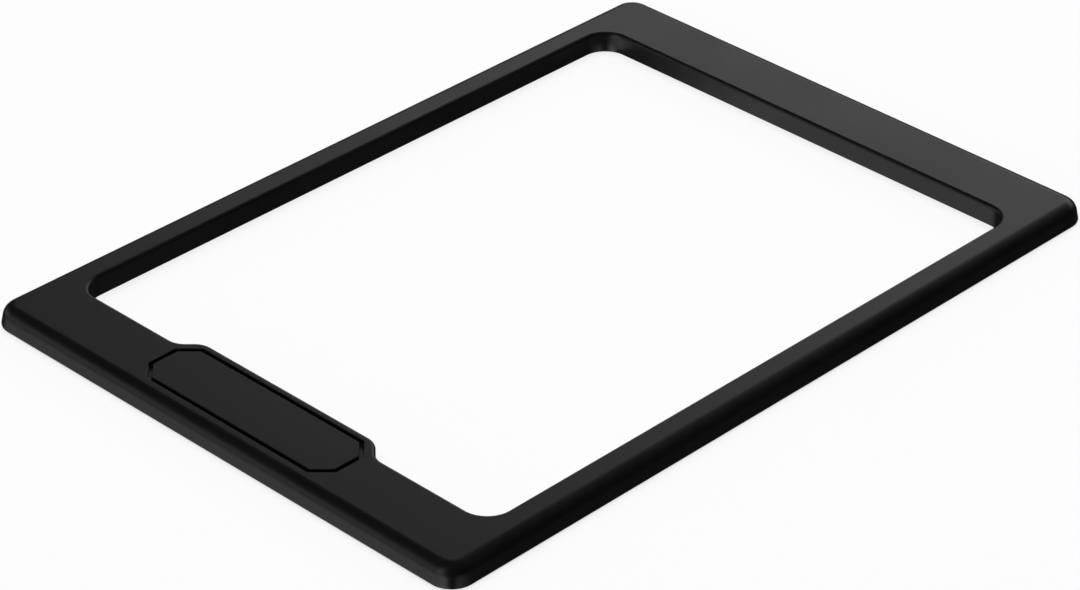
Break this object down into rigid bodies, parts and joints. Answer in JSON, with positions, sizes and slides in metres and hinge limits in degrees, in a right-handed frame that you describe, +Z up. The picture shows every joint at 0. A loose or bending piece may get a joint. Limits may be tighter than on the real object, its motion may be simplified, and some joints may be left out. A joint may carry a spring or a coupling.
{
  "type": "drive height spacer frame",
  "caption": "Flat rectangular plastic frame laid on a thin 2.5 inch drive to fill a taller drive slot, with a rounded outer edge and an engraved panel on its front rail.",
  "frame": {"origin": "middle of the flat underside, which lies on the drive's cover", "axes": "+X across the frame's 70 mm width, +Y along its 100 mm length with the engraved panel's rail at the -Y end, +Z up out of the face with the rounded outer edge"},
  "size_m": [0.07, 0.1, 0.0025],
  "materials": {
    "frame_plastic": "black moulded plastic with a fine satin texture"
  },
  "bodies": {
    "root": {"spacer_frame": "frame_plastic"}
  },
  "joints": []
}
